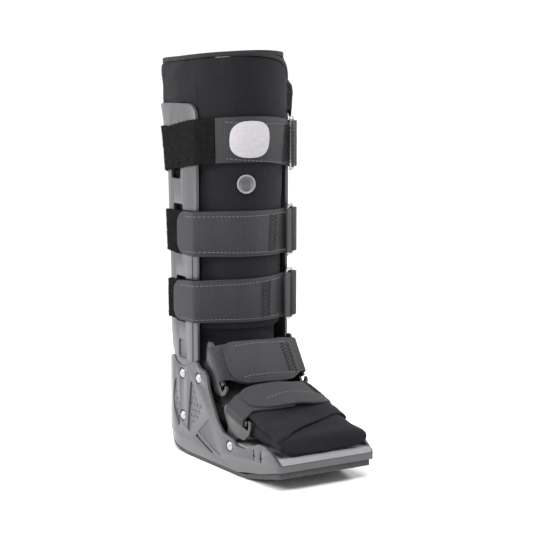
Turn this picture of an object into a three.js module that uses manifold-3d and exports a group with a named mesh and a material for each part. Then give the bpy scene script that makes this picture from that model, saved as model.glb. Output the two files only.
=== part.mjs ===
// Tall walking boot: plastic foot shell and side uprights round a padded liner, closed by five straps.
// Millimetres. +Z is up, the toe points to -Y and the near side, with the strap ends, is -X.
import * as THREE from 'three';
import { mergeVertices } from 'three/addons/utils/BufferGeometryUtils.js';
import Module from 'manifold-3d';

const wasm = await Module();
wasm.setup();

// Driving sizes of the liner
const rimHeight = 423;
const legWidth = 106;
const legDepth = 148;
const footTop = 84;
const linerFootLength = 258;
const linerFootWidth = 96;
const linerWall = 8;
const flapThickness = 3.4;
const layerGap = 0.35;
const bindingHeight = 5;
const bindingLip = 0.7;
const flapFoot = 141;
const flapDrop = 362;

// Driving sizes of the sole and shell
const soleFront = 186;
const soleRear = 76;
const soleWidth = 113;
const shellWall = 3.2;
const footbedTop = 34.7;
const footbedThickness = 5;
const shellHeight = 108;
const wedgeInset = 1.5;
const outsoleInset = 1;
const outsoleThickness = 4;
const groundLevel = 1.8;

// Driving sizes of the uprights
const faceInset = 0.1;
const uprightFace = soleWidth / 2 - faceInset;
const uprightThickness = 3.5;
const uprightTop = 375;
const uprightFront = 24;
const uprightCorner = 16;
const slotWidth = 22;
const bendStart = -5;
const bendRadius = 400;
const flangeDepth = 0.8;
const windowDepth = 1.6;

// Driving sizes of the straps and fittings
const webThickness = 2.2;
const pileThickness = 2.4;
const ringWire = 3;
const buckleThickness = 2.8;
const rivetHead = 10.5;
const rivetShank = 5;
const rivetDome = 2.4;
const rivetReach = shellWall + 1;
const counterboreDepth = 1.2;
const valveDiameter = 20;
const badgeWidth = 42;
const badgeHeight = 38;
const badgeThickness = 0.9;

// Leg sections from the rim down. at, front and rear are shares of rimHeight and legDepth, half of legWidth
const legRows = [
  { at: 1.02, front: 0.41, rear: 0.58, half: 0.54 },
  { at: 0.9, front: 0.405, rear: 0.58, half: 0.535 },
  { at: 0.71, front: 0.352, rear: 0.53, half: 0.5 },
  { at: 0.556, front: 0.322, rear: 0.473, half: 0.497 },
  { at: 0.42, front: 0.3, rear: 0.425, half: 0.492 },
  { at: 0.331, front: 0.294, rear: 0.405, half: 0.485 },
];
// Foot sections fanned from the ankle to the toe. Heights are shares of footTop over the footbed and
// lengths shares of linerFootLength; half is a share of linerFootWidth
const footRows = [
  { topY: -0.175, topZ: 1.05, lowY: 0.252, lowZ: 0.84, half: 0.5, round: 2.1 },
  { topY: -0.197, topZ: 0.9, lowY: 0.272, lowZ: 0.46, half: 0.485, round: 2.1 },
  { topY: -0.232, topZ: 0.74, lowY: 0.266, lowZ: 0.16, half: 0.48, round: 2.2 },
  { topY: -0.28, topZ: 0.6, lowY: 0.17, lowZ: 0.01, half: 0.48, round: 2.2 },
  { topY: -0.36, topZ: 0.555, lowY: -0.08, lowZ: 0.004, half: 0.485, round: 2.2 },
  { topY: -0.45, topZ: 0.53, lowY: -0.33, lowZ: 0.004, half: 0.49, round: 2.2 },
  { topY: -0.55, topZ: 0.41, lowY: -0.52, lowZ: 0.004, half: 0.5, round: 2.3 },
  { topY: -0.63, topZ: 0.31, lowY: -0.62, lowZ: 0.004, half: 0.525, round: 2.6 },
  { topY: -0.695, topZ: 0.235, lowY: -0.695, lowZ: 0.004, half: 0.535, round: 2.8 },
];
const legRoundness = 2;
const backRoundness = 2.6;
const floorGap = 0.3;
const rad = Math.PI / 180;

// Small number helpers
const mix = (a, b, t) => a + (b - a) * t;
const clamp = (x, lo, hi) => Math.min(hi, Math.max(lo, x));
const smooth = (t) => {
  const c = clamp(t, 0, 1);
  return c * c * (3 - 2 * c);
};
const power = (x, p) => Math.sign(x) * Math.abs(x) ** p;

// Value of a table column at x, smooth through its rows, for keys in rising order
function through(xs, ys, x) {
  const last = xs.length - 1;
  if (x <= xs[0]) return ys[0];
  if (x >= xs[last]) return ys[last];
  const k = xs.findIndex((value) => value > x) - 1;
  const slope = (i) => {
    const lo = Math.max(0, i - 1);
    const hi = Math.min(last, i + 1);
    return (ys[hi] - ys[lo]) / (xs[hi] - xs[lo]);
  };
  const h = xs[k + 1] - xs[k];
  const t = (x - xs[k]) / h;
  const a = (1 + 2 * t) * (1 - t) ** 2 * ys[k] + t * (1 - t) ** 2 * h * slope(k);
  return a + t * t * (3 - 2 * t) * ys[k + 1] + t * t * (t - 1) * h * slope(k + 1);
}

// Sections of the whole boot: top or front point, rear or bottom point, and half width
const sections = [
  ...legRows.map((r) => ({
    topY: -r.front * legDepth,
    topZ: r.at * rimHeight,
    lowY: r.rear * legDepth,
    lowZ: r.at * rimHeight,
    half: r.half * legWidth,
    round: legRoundness,
  })),
  ...footRows.map((r) => ({
    topY: r.topY * linerFootLength,
    topZ: footbedTop + r.topZ * footTop,
    lowY: r.lowY * linerFootLength,
    lowZ: footbedTop + floorGap + r.lowZ * footTop,
    half: r.half * linerFootWidth,
    round: r.round,
  })),
];
const sectionKeys = sections.map((_, i) => i);
const sectionAt = (s) => {
  const column = (name) => through(sectionKeys, sections.map((row) => row[name]), s);
  return {
    topY: column('topY'),
    topZ: column('topZ'),
    lowY: column('lowY'),
    lowZ: column('lowZ'),
    half: column('half'),
    round: column('round'),
  };
};
// Share along the leg rows for a height above the ankle
const legKey = (z) => through(
  legRows.map((r) => r.at * rimHeight).reverse(),
  legRows.map((_, i) => i).reverse(),
  z,
);

// Point of the boot's skin: s along the sections, angle from the front towards the near side, out along
// the section's normal
function skin(s, angle, out = 0) {
  const row = sectionAt(s);
  const topY = row.topY;
  const dy = (topY - row.lowY) / 2;
  const dz = (row.topZ - row.lowZ) / 2;
  const depth = Math.hypot(dy, dz);
  const c = Math.cos(angle * rad);
  const n = Math.sin(angle * rad);
  const e = 2 / (c > 0 ? row.round : backRoundness);
  const normal = new THREE.Vector2(power(n, 2 - e) / row.half, power(c, 2 - e) / depth).normalize();
  const across = row.half * power(n, e) + out * normal.x;
  const along = depth * power(c, e) + out * normal.y;
  return new THREE.Vector3(
    -across,
    (topY + row.lowY) / 2 + (along * dy) / depth,
    (row.topZ + row.lowZ) / 2 + (along * dz) / depth,
  );
}
const legSkin = (z, angle, out) => skin(legKey(z), angle, out).setZ(z);
// Height of the rim round the leg, share of rimHeight: lowest at the near back
const rimLevels = [
  { angle: -180, at: 0.9953 },
  { angle: -150, at: 1.0047 },
  { angle: -120, at: 1.0035 },
  { angle: -90, at: 1 },
  { angle: -45, at: 1.0047 },
  { angle: 0, at: 1.0083 },
  { angle: 45, at: 1.0035 },
  { angle: 90, at: 0.9941 },
  { angle: 135, at: 0.9894 },
  { angle: 180, at: 0.9953 },
];
function rimAt(angle) {
  const turned = ((angle + 540) % 360) - 180;
  return rimHeight * through(rimLevels.map((p) => p.angle), rimLevels.map((p) => p.at), turned);
}

// Geometry from rows of points. Each cell is two triangles
function fromTriangles(positions, index) {
  const geometry = new THREE.BufferGeometry();
  geometry.setAttribute('position', new THREE.Float32BufferAttribute(positions, 3));
  geometry.setIndex(index);
  return geometry;
}
function volume(geometry) {
  const p = geometry.attributes.position;
  const index = geometry.index.array;
  const a = new THREE.Vector3();
  const b = new THREE.Vector3();
  const c = new THREE.Vector3();
  let sum = 0;
  for (let i = 0; i < index.length; i += 3) {
    a.fromBufferAttribute(p, index[i]);
    b.fromBufferAttribute(p, index[i + 1]);
    c.fromBufferAttribute(p, index[i + 2]);
    sum += a.dot(b.cross(c)) / 6;
  }
  return sum;
}
function facingOut(geometry) {
  if (volume(geometry) < 0) {
    const index = geometry.index.array;
    for (let i = 0; i < index.length; i += 3) {
      [index[i + 1], index[i + 2]] = [index[i + 2], index[i + 1]];
    }
  }
  return geometry;
}
// Closed solid between an inner and an outer grid. round joins the first and last columns
function slab(columns, rows, inner, outer, round = false) {
  const positions = [];
  const index = [];
  const wide = round ? columns : columns + 1;
  const layer = wide * (rows + 1);
  [inner, outer].forEach((surface) => {
    for (let j = 0; j <= rows; j += 1) {
      for (let i = 0; i < wide; i += 1) positions.push(...surface(i / columns, j / rows).toArray());
    }
  });
  const at = (side, i, j) => side * layer + j * wide + (i % wide);
  const cell = (a, b, c, d) => index.push(a, b, c, a, c, d);
  for (let j = 0; j < rows; j += 1) {
    for (let i = 0; i < columns; i += 1) {
      cell(at(0, i, j), at(0, i, j + 1), at(0, i + 1, j + 1), at(0, i + 1, j));
      cell(at(1, i, j), at(1, i + 1, j), at(1, i + 1, j + 1), at(1, i, j + 1));
    }
  }
  for (let i = 0; i < columns; i += 1) {
    cell(at(0, i, 0), at(0, i + 1, 0), at(1, i + 1, 0), at(1, i, 0));
    cell(at(0, i, rows), at(1, i, rows), at(1, i + 1, rows), at(0, i + 1, rows));
  }
  if (!round) {
    for (let j = 0; j < rows; j += 1) {
      cell(at(0, 0, j), at(1, 0, j), at(1, 0, j + 1), at(0, 0, j + 1));
      cell(at(0, columns, j), at(0, columns, j + 1), at(1, columns, j + 1), at(1, columns, j));
    }
  }
  return facingOut(fromTriangles(positions, index));
}

// Joining and cutting
function solid(geometry) {
  const bare = geometry.clone();
  bare.deleteAttribute('normal');
  bare.deleteAttribute('uv');
  const merged = facingOut(mergeVertices(bare, 1e-4));
  return new wasm.Manifold(new wasm.Mesh({
    numProp: 3,
    vertProperties: new Float32Array(merged.attributes.position.array),
    triVerts: new Uint32Array(merged.index.array),
  }));
}
function geometryOf(manifold) {
  const mesh = manifold.getMesh();
  return fromTriangles(Array.from(mesh.vertProperties), Array.from(mesh.triVerts));
}
const cut = (body, ...tools) => tools.reduce((left, tool) => left.subtract(solid(tool)), body);
const join = (...parts) => parts.map(solid).reduce((a, b) => a.add(b));

// Outline in Y and Z, pushed along X from x0 to x1. Corners are [y, z] pairs
function sideShape(corners) {
  return new THREE.Shape(corners.map(([y, z]) => new THREE.Vector2(y, z)));
}
function pushed(shape, x0, x1, curveSegments = 6) {
  const depth = x1 - x0;
  const geometry = new THREE.ExtrudeGeometry(shape, { depth, bevelEnabled: false, curveSegments });
  const axes = new THREE.Matrix4().makeBasis(
    new THREE.Vector3(0, 1, 0),
    new THREE.Vector3(0, 0, 1),
    new THREE.Vector3(1, 0, 0),
  );
  geometry.applyMatrix4(axes);
  return geometry.translate(x0, 0, 0);
}
function roundBar(diameter, length, y, z, x, sides = 16) {
  const bar = new THREE.CylinderGeometry(diameter / 2, diameter / 2, length, sides);
  return bar.rotateZ(Math.PI / 2).translate(x, y, z);
}
// Rounded slot outline centred on a point, with corner radius r
function slotShape(y0, y1, z0, z1, r) {
  const shape = new THREE.Shape();
  shape.moveTo(y0 + r, z0);
  shape.lineTo(y1 - r, z0);
  shape.absarc(y1 - r, z0 + r, r, -Math.PI / 2, 0);
  shape.lineTo(y1, z1 - r);
  shape.absarc(y1 - r, z1 - r, r, 0, Math.PI / 2);
  shape.lineTo(y0 + r, z1);
  shape.absarc(y0 + r, z1 - r, r, Math.PI / 2, Math.PI);
  shape.lineTo(y0, z0 + r);
  shape.absarc(y0 + r, z0 + r, r, Math.PI, Math.PI * 1.5);
  return shape;
}

// Plan of the sole: straight sides, superelliptic heel and rounded toe corners, pulled in by an inset
const heelStart = 15;
const heelRoundness = 2.1;
const toeCorner = 3;
const toeSkew = 1.5;
function planShape(inset, openToe = false) {
  const half = soleWidth / 2 - inset;
  const heel = soleRear - heelStart - inset;
  const front = -soleFront + (openToe ? -toeCorner : inset);
  const points = [];
  for (let a = 0; a <= 180; a += 7.5) {
    const e = 2 / heelRoundness;
    points.push([half * power(Math.cos(a * rad), e), heelStart + heel * power(Math.sin(a * rad), e)]);
  }
  const turn = openToe ? 0.01 : toeCorner;
  for (let a = 180; a <= 360; a += 30) {
    const side = a < 270 ? -1 : 1;
    if (a !== 270) {
      const x = side * (half - turn) + turn * Math.cos(a * rad);
      const y = front + turn + turn * Math.sin(a * rad);
      points.push([x, y + toeSkew * (x / soleWidth + 0.5)]);
    }
  }
  return new THREE.Shape(points.map(([x, y]) => new THREE.Vector2(x, y)));
}
function standing(shape, z0, z1) {
  const geometry = new THREE.ExtrudeGeometry(shape, { depth: z1 - z0, bevelEnabled: false });
  return geometry.translate(0, 0, z0);
}
const beyond = soleWidth;

// Seam under the shell and the ground line, from the heel to the toe. y is a share of soleFront
const seamLine = [
  { y: 0.45, z: 28 },
  { y: 0.3, z: 24.5 },
  { y: 0.17, z: 22.5 },
  { y: -0.05, z: 22 },
  { y: -0.22, z: 17 },
  { y: -0.4, z: 13.5 },
  { y: -0.52, z: 9 },
  { y: -0.62, z: 9 },
  { y: -0.83, z: 15.5 },
  { y: -0.97, z: 22 },
  { y: -1.05, z: 24 },
];
const groundLine = [
  { y: 0.45, z: 22 },
  { y: 0.36, z: 16.5 },
  { y: 0.23, z: 9.5 },
  { y: 0.11, z: 4.2 },
  { y: 0.01, z: groundLevel },
  { y: -0.56, z: groundLevel },
  { y: -0.64, z: 3.2 },
  { y: -0.81, z: 9 },
  { y: -0.92, z: 13.6 },
  { y: -1.05, z: 18.5 },
];
const corners = (line, lift = 0) => line.map((p) => [p.y * soleFront, p.z + lift]);
// The outsole grows thicker up the toe, where it meets the seam
const toeSpring = -0.7;
const toeExtra = 3.5;
const outsoleTop = groundLine.map((p) => (
  [p.y * soleFront, p.z + outsoleThickness + (p.y < toeSpring ? toeExtra : 0)]
));
const belowSeam = corners(seamLine, -layerGap);

const outsoleBody = solid(standing(planShape(outsoleInset + wedgeInset), 0, shellHeight))
  .intersect(solid(pushed(sideShape([...corners(groundLine), ...outsoleTop.reverse()]), -beyond, beyond)))
  .intersect(solid(pushed(
    sideShape([...belowSeam, [-beyond * 2, -beyond], [beyond, -beyond]]),
    -beyond,
    beyond,
  )));
// Shallow tread bars across the flat of the outsole
const treadPitch = 13;
const treadWidth = 2.4;
const treadDepth = 1.5;
const treads = [];
for (let y = -0.9 * soleFront; y < 0.3 * soleFront; y += treadPitch) {
  const bar = new THREE.BoxGeometry(soleWidth * 0.8, treadWidth, treadDepth * 2);
  const rise = through(
    groundLine.map((p) => p.y * soleFront).reverse(),
    groundLine.map((p) => p.z).reverse(),
    y,
  );
  if (rise > groundLevel + treadDepth) treads.push(bar.translate(0, y, rise));
}
const outsole = geometryOf(cut(outsoleBody, ...treads));

// Midsole wedge between the outsole and the shell seam
const wedgeLow = corners(groundLine, outsoleThickness + layerGap).slice(0, 6);
const wedge = geometryOf(
  solid(standing(planShape(wedgeInset), 0, shellHeight))
    .intersect(solid(pushed(sideShape([...belowSeam.slice(0, 8), ...wedgeLow.reverse()]), -beyond, beyond))),
);

// Footbed plate: its front edge shows between the shell walls
const footbedLow = footbedTop - footbedThickness;
const footbedBlock = solid(standing(planShape(shellWall + layerGap, true), footbedLow, footbedTop))
  .intersect(solid(standing(planShape(0), 0, shellHeight)));

// Shell: rim line of the side walls from the ankle wing to the toe, shares of soleFront and shellHeight
const rimLine = [
  { y: -0.118, z: 0.991 },
  { y: -0.156, z: 0.935 },
  { y: -0.204, z: 0.917 },
  { y: -0.237, z: 0.87 },
  { y: -0.258, z: 0.75 },
  { y: -0.301, z: 0.62 },
  { y: -0.355, z: 0.472 },
  { y: -0.411, z: 0.389 },
  { y: -0.476, z: 0.372 },
  { y: -0.519, z: 0.352 },
  { y: -0.559, z: 0.31 },
  { y: -0.64, z: 0.308 },
  { y: -0.707, z: 0.352 },
  { y: -0.785, z: 0.405 },
  { y: -0.849, z: 0.407 },
  { y: -0.909, z: 0.372 },
  { y: -0.957, z: 0.318 },
  { y: -1.0, z: 0.268 },
];
// Rounded notch in which an upright's foot sits
const notchLine = [
  { y: 0.137, z: 0.976 },
  { y: 0.11, z: 0.937 },
  { y: 0.075, z: 0.914 },
  { y: 0.03, z: 0.907 },
  { y: -0.02, z: 0.925 },
  { y: -0.065, z: 0.96 },
  { y: -0.1, z: 0.985 },
];
const onShell = (line, lift = 0) => line.map((p) => [p.y * soleFront, p.z * shellHeight + lift]);
const heelRim = [[soleRear + 1, 0.9 * shellHeight], [soleRear * 0.6, 0.95 * shellHeight]];
const shellProfile = [
  ...corners(seamLine),
  [-soleFront - 1, 0.268 * shellHeight],
  ...onShell(rimLine).reverse(),
  ...onShell(notchLine).reverse(),
  [0.16 * soleFront, 0.985 * shellHeight],
  ...heelRim.slice().reverse(),
];
const floorTop = footbedTop - footbedThickness - layerGap;
const wallOuter = soleWidth / 2;
const bothSides = (make) => [-1, 1].map((side) => make(side));
// Cutter that reaches a given depth into either side wall
function pocket(shape, depth) {
  return bothSides((side) => pushed(
    shape,
    side < 0 ? -wallOuter - 9 : wallOuter - depth,
    side < 0 ? -wallOuter + depth : wallOuter + 9,
  ));
}
const rivetSpots = [
  { y: 7.8, z: 0.8296 * shellHeight, reach: rivetReach },
  { y: -27, z: 0.8315 * shellHeight, reach: rivetReach + 2.2 },
  { y: 6.7, z: 0.4093 * shellHeight, reach: rivetReach },
  { y: -90.3, z: 0.2843 * shellHeight, reach: rivetReach },
];
const rivetHoles = (spread, length, at) => rivetSpots.flatMap(({ y, z }) => bothSides((side) => roundBar(
  rivetShank + spread,
  length,
  y,
  z,
  side * at,
  10,
)));
const footbed = geometryOf(cut(footbedBlock, ...rivetHoles(2 * layerGap, 12, wallOuter - shellWall)));
const perforatedRear = [[22, 84], [27, 76], [31, 58], [29, 50], [17, 30], [13.5, 34], [14.6, 56]];
const perforatedSide = [[-10, 83], [-13, 84], [-36, 58], [-35, 54], [-25, 43], [-7, 29.5], [-3, 31]];
const facetPanel = [[-26, 33], [-48, 50], [-53, 46], [-73, 19], [-70, 17.5], [-60, 19.5]];
const recessDepth = 1.5;
const grooveDepth = 1.2;
function inside(y, z, outline, margin) {
  return outline.every(([y0, z0], i) => {
    const [y1, z1] = outline[(i + 1) % outline.length];
    const side = ((y1 - y0) * (z - z0) - (z1 - z0) * (y - y0)) / Math.hypot(y1 - y0, z1 - z0);
    return Math.abs(side) > margin;
  }) && outline.reduce((odd, [y0, z0], i) => {
    const [y1, z1] = outline[(i + 1) % outline.length];
    const crosses = z0 > z !== z1 > z && y < ((y1 - y0) * (z - z0)) / (z1 - z0) + y0;
    return crosses ? !odd : odd;
  }, false);
}
const perforationPitch = 6.4;
const perforationWidth = 2.3;
const perforations = [];
[perforatedRear, perforatedSide].forEach((outline) => {
  for (let row = 0; row < 10; row += 1) {
    for (let k = -6; k < 6; k += 1) {
      const y = (k + (row % 2) / 2) * perforationPitch;
      const z = 28 + row * perforationPitch;
      if (inside(y, z, outline, 2.4)) {
        perforations.push(roundBar(perforationWidth, soleWidth * 2, y, z, 0, 4));
      }
    }
  }
});
const grooveShape = sideShape([[-21, 27], [-23, 30], [-57, 17.5], [-56, 15.5], [-53, 15.6]]);
// Small pointed slots in the wall beside the toes
const arrowShape = (y) => sideShape([
  [y - 1, 26], [y + 1, 26], [y + 1, 29], [y + 2.6, 30.5], [y + 1, 32], [y + 1, 37], [y - 1, 37], [y - 1, 32],
  [y - 2.6, 30.5], [y - 1, 29],
]);
const shellBlock = solid(standing(planShape(0), 0, shellHeight))
  .subtract(solid(standing(planShape(shellWall, true), floorTop, shellHeight + 1)))
  .intersect(solid(pushed(sideShape(shellProfile), -beyond, beyond)));
const shell = geometryOf(cut(
  shellBlock,
  ...pocket(sideShape(perforatedRear), recessDepth + 0.9),
  ...pocket(sideShape(perforatedSide), recessDepth),
  ...pocket(sideShape(facetPanel), 0.7),
  ...pocket(grooveShape, grooveDepth + 0.8),
  ...[-138, -151].flatMap((y) => pocket(arrowShape(y), shellWall + 1)),
  ...rivetHoles(rivetHead - rivetShank + 2.5, 2 * counterboreDepth, wallOuter),
  ...rivetHoles(2 * layerGap, 2 * (shellWall + 3), wallOuter),
  ...perforations,
));

// Rivet with a domed head, its axis along X
function rivet(side, { y, z, reach }) {
  const headFace = wallOuter - counterboreDepth + layerGap;
  const profile = [
    [0, headFace - reach],
    [rivetShank / 2, headFace - reach],
    [rivetShank / 2, headFace],
    [rivetHead / 2, headFace],
    [rivetHead / 2, headFace + 0.5],
    [rivetHead * 0.3, headFace + rivetDome * 0.85],
    [0, headFace + rivetDome],
  ];
  const turned = new THREE.LatheGeometry(profile.map(([r, h]) => new THREE.Vector2(r, h)), 10);
  turned.rotateZ(side < 0 ? Math.PI / 2 : -Math.PI / 2);
  return geometryOf(solid(turned.translate(0, y, z)));
}

// Upright: rear edge from top to bottom, shares of uprightTop and of its rear reach
const uprightRear = 61;
const rearEdge = [
  { at: 0.992, back: 1 },
  { at: 0.94, back: 0.865 },
  { at: 0.87, back: 0.74 },
  { at: 0.8, back: 0.67 },
  { at: 0.71, back: 0.645 },
  { at: 0.54, back: 0.57 },
  { at: 0.355, back: 0.55 },
  { at: 0.312, back: 0.51 },
];
const faceX = (y) => uprightFace - Math.max(0, y - bendStart) ** 2 / (2 * bendRadius);
const backAt = (z) => through(
  rearEdge.map((p) => p.at * uprightTop).reverse(),
  rearEdge.map((p) => p.back * uprightRear).reverse(),
  z,
);
const slots = [
  { y: 20.5, low: 296, high: 351 },
  { y: 15.7, low: 217, high: 270 },
  { y: 9.5, low: 145, high: 194 },
];
const slotHole = ({ y, low, high }, grow = 0) => slotShape(
  y - slotWidth / 2 - grow,
  y + slotWidth / 2 + grow,
  low - grow,
  high + grow,
  3 + grow,
);
// Plate between two distances under the outer face, curved towards the back of the leg
function plate(side, under0, under1) {
  const surface = (under) => (u, v) => {
    const y = mix(-uprightFront - 6, uprightRear + 6, u);
    return new THREE.Vector3(side * (faceX(y) - under), y, mix(0.6 * shellHeight, uprightTop + 4, v));
  };
  return slab(6, 1, surface(under1), surface(under0));
}
function uprightShape(grow = 0) {
  const top = uprightTop + grow;
  const rear = uprightRear + grow;
  const front = -uprightFront - grow;
  const shape = new THREE.Shape();
  const foot = onShell(notchLine, layerGap - grow);
  shape.moveTo(foot[0][0], foot[0][1]);
  rearEdge.slice().reverse().forEach((p) => shape.lineTo(p.back * rear, p.at * top));
  shape.lineTo(0.93 * rear, top - 0.5);
  shape.lineTo(0.5 * rear, top);
  shape.lineTo(uprightCorner + front, top);
  shape.absarc(uprightCorner + front, top - uprightCorner, uprightCorner, Math.PI / 2, Math.PI);
  shape.lineTo(front, foot[6][1] + 1);
  foot.slice().reverse().forEach(([y, z]) => shape.lineTo(y, z));
  return shape;
}
// Tongue that runs down behind the shell wall to the rivets
const tongueOutline = sideShape([
  [-13, 122], [-16, 100], [-2, 80], [-3, 40], [2, 36],
  [12, 36], [16, 40], [18, 80], [21, 100], [20, 122],
]);
const tongueDepth = 2.3;
const wallInner = wallOuter - shellWall;
function upright(side) {
  const body = solid(plate(side, 0, uprightThickness))
    .intersect(solid(pushed(uprightShape(), -beyond, beyond, 4)));
  const tongue = pushed(
    tongueOutline,
    side < 0 ? -wallInner + layerGap : wallInner - layerGap - tongueDepth,
    side < 0 ? -wallInner + layerGap + tongueDepth : wallInner - layerGap,
  );
  // Step along the lower front edge
  const stepFace = (x) => (u, v) => (
    new THREE.Vector3(side * x, mix(-uprightFront - 2, -14.5, u), mix(90, 226, v))
  );
  const flange = slab(4, 1, stepFace(faceX(0) - flangeDepth), stepFace(faceX(0) + 4));
  const windowCut = pushed(
    slotShape(-3.5, 15.5, 106.5, 126.5, 4),
    side < 0 ? -uprightFace - 4 : faceX(15) - windowDepth,
    side < 0 ? -faceX(15) + windowDepth : uprightFace + 4,
    2,
  );
  const holes = rivetSpots.slice(0, 3).map(({ y, z }) => roundBar(
    rivetShank + 2 * layerGap,
    12,
    y,
    z,
    side * wallInner,
    8,
  ));
  return geometryOf(cut(
    body.add(solid(tongue)),
    flange,
    windowCut,
    ...slots.map((s) => pushed(slotHole(s), -beyond, beyond, 2)),
    ...holes,
  ));
}

// Liner: one hollow padded tube from the rim round the ankle to the toe
const legStart = legKey(rimHeight);
const toeKey = sections.length - 1;
const linerRows = 20;
const keyAt = (v) => mix(legStart, toeKey, v);
const around = (u) => 360 * u;
function linerSurface(out) {
  return (u, v) => {
    const point = skin(keyAt(v), around(u), out);
    const upper = clamp(1 - v * linerRows / 2, 0, 1);
    return point.setZ(point.z + upper * (rimAt(around(u)) - rimHeight - bindingHeight));
  };
}
const linerBlock = solid(slab(28, linerRows, linerSurface(-linerWall), linerSurface(0), true));

// Binding over the liner's rim
const bindingSurface = (out) => (u, v) => {
  const z = rimAt(around(u)) - bindingHeight + layerGap + v * bindingHeight;
  const round = bindingLip * (1 - (2 * v - 1) ** 2) * 0.6;
  const sideways = out > -linerWall / 2 ? out - 0.1 : out - round;
  return skin(legStart, around(u), sideways).setZ(z);
};
const rimBinding = slab(28, 2, bindingSurface(-linerWall - 0.4), bindingSurface(0), true);

// Shin flap: near edge at the upright, far edge in front of the far upright, rounded far top corner
const flapNear = 61;
const flapFar = -56;
const flapCorner = -69;
const flapLift = 7.8;
const flapEase = 0.7;
const slitEnd = -62;
const flapOut = (angle) => flapEase + flapLift * smooth((flapFar - angle) / 5);
// Over the upright's corner the flap's inner face stands off; above it the padding fills down to the liner
const fillLow = 370;
const fillHigh = 374;
const flapIn = (angle, z) => mix(flapOut(angle), flapEase, smooth((z - fillLow) / (fillHigh - fillLow)));
// Fall of the flap's top edge round its far corner: angle, and share of the whole drop
const flapFall = [
  { angle: -69, drop: 0.96 },
  { angle: -66.5, drop: 0.72 },
  { angle: -62, drop: 0.56 },
  { angle: -57, drop: 0.45 },
  { angle: -50, drop: 0.33 },
  { angle: -40, drop: 0.21 },
  { angle: -28, drop: 0.12 },
  { angle: -10, drop: 0.05 },
  { angle: 20, drop: 0 },
];
const flapEnd = (angle) => {
  const share = through(flapFall.map((p) => p.angle), flapFall.map((p) => p.drop), angle);
  return rimAt(angle) - share * (rimHeight - flapDrop);
};
const flapFootAt = () => flapFoot;
function flapPatch(angle0, angle1, foot, inner, outer, columns, rows, top = 0) {
  const surface = (lift, out) => (u, v) => {
    const angle = mix(angle0, angle1, u);
    const z = mix(foot(angle), flapEnd(angle) - top, v);
    return legSkin(z, angle, lift(angle, z) + out);
  };
  return slab(columns, rows, surface(flapIn, inner), surface(flapOut, outer));
}
const flapFront = flapPatch(flapNear, flapFar, flapFootAt, 0, flapThickness, 14, 8, bindingHeight);
const flapTab = flapPatch(
  flapFar + 1,
  flapCorner + 4,
  () => flapDrop - 2,
  0,
  flapThickness,
  4,
  4,
  bindingHeight,
);
// Slit of the flap where the far upright's front edge stands
const flapSlit = slab(
  2,
  2,
  (u, v) => legSkin(mix(flapDrop - 30, fillLow - 3, v), mix(flapFar, slitEnd, u), -6),
  (u, v) => legSkin(mix(flapDrop - 30, fillLow - 3, v), mix(flapFar, slitEnd, u), 14),
);
// Binding along the flap's top edge, wider at its far corner
const bindingBand = (grow, inner, outer) => flapPatch(
  flapNear,
  flapCorner,
  (angle) => (angle > flapCorner + 1 ? flapEnd(angle) - bindingHeight : flapDrop - 2) + grow,
  inner,
  outer,
  26,
  1,
);
const flapTopBinding = bindingBand(layerGap, 0, flapThickness + bindingLip);

// Valve seat in the shin flap
const valveAngle = 14;
// The valve keeps its place between the two upper straps, a share of rimHeight
const valveHeight = 0.6927 * rimHeight;
const valveSeat = legSkin(valveHeight, valveAngle, flapEase + flapThickness);
const valveFoot = legSkin(valveHeight, valveAngle, 0);
const valveNormal = legSkin(valveHeight, valveAngle, 10).sub(valveFoot).setZ(0.12).normalize();
function onValve(geometry) {
  const turn = new THREE.Quaternion().setFromUnitVectors(new THREE.Vector3(0, 1, 0), valveNormal);
  return geometry.applyQuaternion(turn).translate(valveSeat.x, valveSeat.y, valveSeat.z);
}
function lathed(profile, sides) {
  return new THREE.LatheGeometry(profile.map(([r, h]) => new THREE.Vector2(r, h)), sides);
}
const valveHalf = valveDiameter / 2;
const valveSink = 2.4;
const valveHole = onValve(new THREE.CylinderGeometry(valveHalf - 1, valveHalf - 1, 2 * valveSink, 16));
const valveRing = onValve(lathed([
  [0, layerGap - valveSink],
  [valveHalf - 1 - layerGap, layerGap - valveSink],
  [valveHalf - 1 - layerGap, 0.9],
  [valveHalf, 1],
  [valveHalf, 1.8],
  [valveHalf - 0.8, 2.4],
  [valveHalf - 2, 1.8],
  [valveHalf - 2.6, 1.2 - valveSink],
  [0, 1.2 - valveSink],
], 16));
const valveStem = onValve(lathed([
  [0, 1.2 + layerGap - valveSink],
  [3.6, 1.2 + layerGap - valveSink],
  [3.6, 1.2],
  [4.8, 1.3],
  [4.8, 2],
  [0, 2.3],
], 12));
// The far upright with its clearance, which the flap's corner leaves free
const cornerRoom = solid(plate(1, -layerGap, uprightThickness + layerGap))
  .intersect(solid(pushed(uprightShape(layerGap), -beyond, beyond, 3)));
const bindingRoom = bindingBand(0, -2, flapThickness + 2);
const shinFlap = cut(join(flapFront, flapTab), flapSlit, valveHole, bindingRoom).subtract(cornerRoom);
const flapBinding = cut(solid(flapTopBinding), flapSlit).subtract(cornerRoom);

// Forefoot flap: over the foot from under the instep strap to a slanting hem at the toe
const foreStart = 6.6;
const foreHem = (angle) => mix(toeKey - 0.15, toeKey - 1.75, smooth((62 - angle) / 120));
const foreSide = 76;
const foreEase = 1.15;
function foreSurface(out) {
  return (u, v) => {
    const angle = mix(foreSide, -foreSide, u);
    const edge = 1 - 0.45 * smooth((v - 0.9) / 0.1);
    const puff = 1.2 * smooth(v / 0.5) * Math.sin(Math.PI * clamp(v, 0, 1)) * Math.cos(angle * rad) ** 2;
    return skin(mix(foreStart, foreHem(angle), v), angle, foreEase + (out ? flapThickness * edge + puff : 0));
  };
}
const forefootFlap = slab(12, 8, foreSurface(false), foreSurface(true));

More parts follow.
